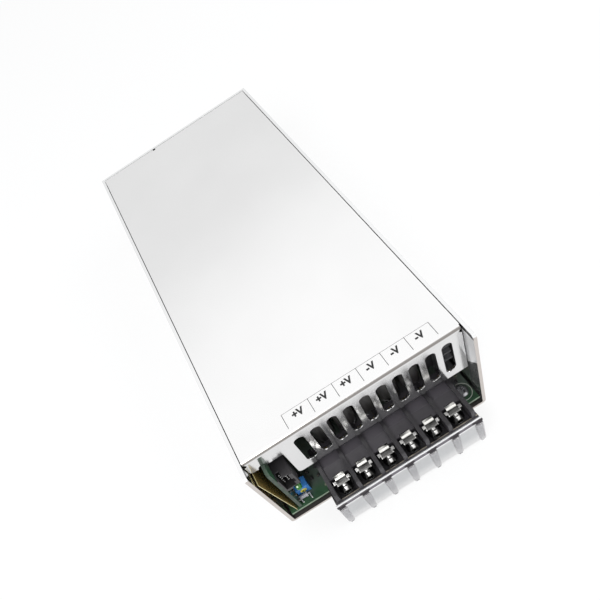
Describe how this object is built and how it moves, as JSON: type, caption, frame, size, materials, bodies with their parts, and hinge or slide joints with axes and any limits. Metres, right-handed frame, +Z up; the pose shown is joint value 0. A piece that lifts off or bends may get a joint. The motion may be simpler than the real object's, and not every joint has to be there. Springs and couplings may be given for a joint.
{
  "type": "enclosed switching power supply",
  "caption": "Enclosed switching power supply: folded aluminium case, slotted cover, screw terminals under hinged clear flaps, and a cooling fan.",
  "frame": {"origin": "centre of the case's underside, which is the centre of the base screw holes", "axes": "+X to the right of someone who looks at the output end, +Y from the output end to the fan end, +Z up"},
  "size_m": [0.105, 0.2468, 0.0635],
  "materials": {
    "bright_aluminium": "mill finish sheet, bright, with a fine rolling grain",
    "cover_aluminium": "mill finish sheet, pale and evenly bright",
    "zinc_screw": "zinc plated steel",
    "nickel_steel": "nickel plated steel",
    "nickel_brass": "nickel plated brass",
    "tinned_copper": "tinned copper",
    "bright_wire": "plated steel wire",
    "amber_film": "amber insulating film, glossy",
    "green_board": "green solder mask over glass fibre",
    "black_moulding": "black moulded plastic, satin",
    "clear_plastic": "clear moulded plastic",
    "green_lens": "clear green lens",
    "blue_plastic": "blue plastic",
    "yellow_plastic": "yellow plastic",
    "pale_ceramic": "pale coated ceramic",
    "pale_plastic": "off-white nylon",
    "epoxy_package": "black epoxy",
    "ferrite": "dark grey ferrite",
    "winding_tape": "yellow polyester tape",
    "copper_wire": "enamelled copper wire",
    "capacitor_sleeve": "dark shrink sleeve",
    "red_sleeve": "PVC covered wire"
  },
  "bodies": {
    "case": {"chassis": "bright_aluminium", "cover": "cover_aluminium", "cover_screws": "zinc_screw", "insulating_film": "amber_film", "main_board": "green_board", "board_standoffs": "nickel_brass", "board_screws": "zinc_screw", "output_terminal_body": "black_moulding", "output_tabs": "tinned_copper", "output_clamps": "nickel_steel", "output_screws": "nickel_steel", "daughter_board": "green_board", "signal_connector": "black_moulding", "signal_pins": "tinned_copper", "status_led": "green_lens", "trimmer_body": "blue_plastic", "front_resistor": "pale_ceramic", "fan_frame": "black_moulding", "fan_guard": "bright_wire", "fan_screws": "zinc_screw", "input_terminal_body": "black_moulding", "input_tabs": "tinned_copper", "input_clamps": "nickel_steel", "input_screws": "nickel_steel", "line_fuse": "pale_ceramic", "filter_choke": "copper_wire", "film_capacitor": "yellow_plastic", "suppression_capacitors": "blue_plastic", "bridge_rectifier": "epoxy_package", "inrush_limiter": "epoxy_package", "relay": "blue_plastic", "boost_choke": "copper_wire", "bulk_capacitors": "capacitor_sleeve", "primary_heatsink": "bright_aluminium", "primary_switches": "epoxy_package", "transformer_core": "ferrite", "transformer_winding": "winding_tape", "secondary_heatsink": "bright_aluminium", "secondary_rectifiers": "epoxy_package", "output_choke": "copper_wire", "output_capacitors": "capacitor_sleeve", "fan_plug": "pale_plastic", "fan_lead": "red_sleeve"},
    "output_flap": {"output_flap": "clear_plastic"},
    "input_flap": {"input_flap": "clear_plastic"},
    "trimmer_rotor": {"trimmer_rotor": "yellow_plastic"},
    "fan_rotor": {"fan_rotor": "black_moulding"}
  },
  "joints": [
    {"name": "output_flap_hinge", "type": "hinge", "parent": "case", "child": "output_flap", "pos_m": [0.0062, -0.1207, 0.0184], "axis": [-1, 0, 0], "range_deg": [0, 170]},
    {"name": "input_flap_hinge", "type": "hinge", "parent": "case", "child": "input_flap", "pos_m": [-0.031, 0.1207, 0.0184], "axis": [1, 0, 0], "range_deg": [0, 170]},
    {"name": "trimmer_turn", "type": "hinge", "parent": "case", "child": "trimmer_rotor", "pos_m": [-0.0397, -0.1037, 0.0116], "axis": [0, -1, 0], "range_deg": [-135, 135]},
    {"name": "fan_spin", "type": "hinge", "parent": "case", "child": "fan_rotor", "pos_m": [0.018, 0.097, 0.032], "axis": [0, 1, 0], "continuous": true}
  ]
}
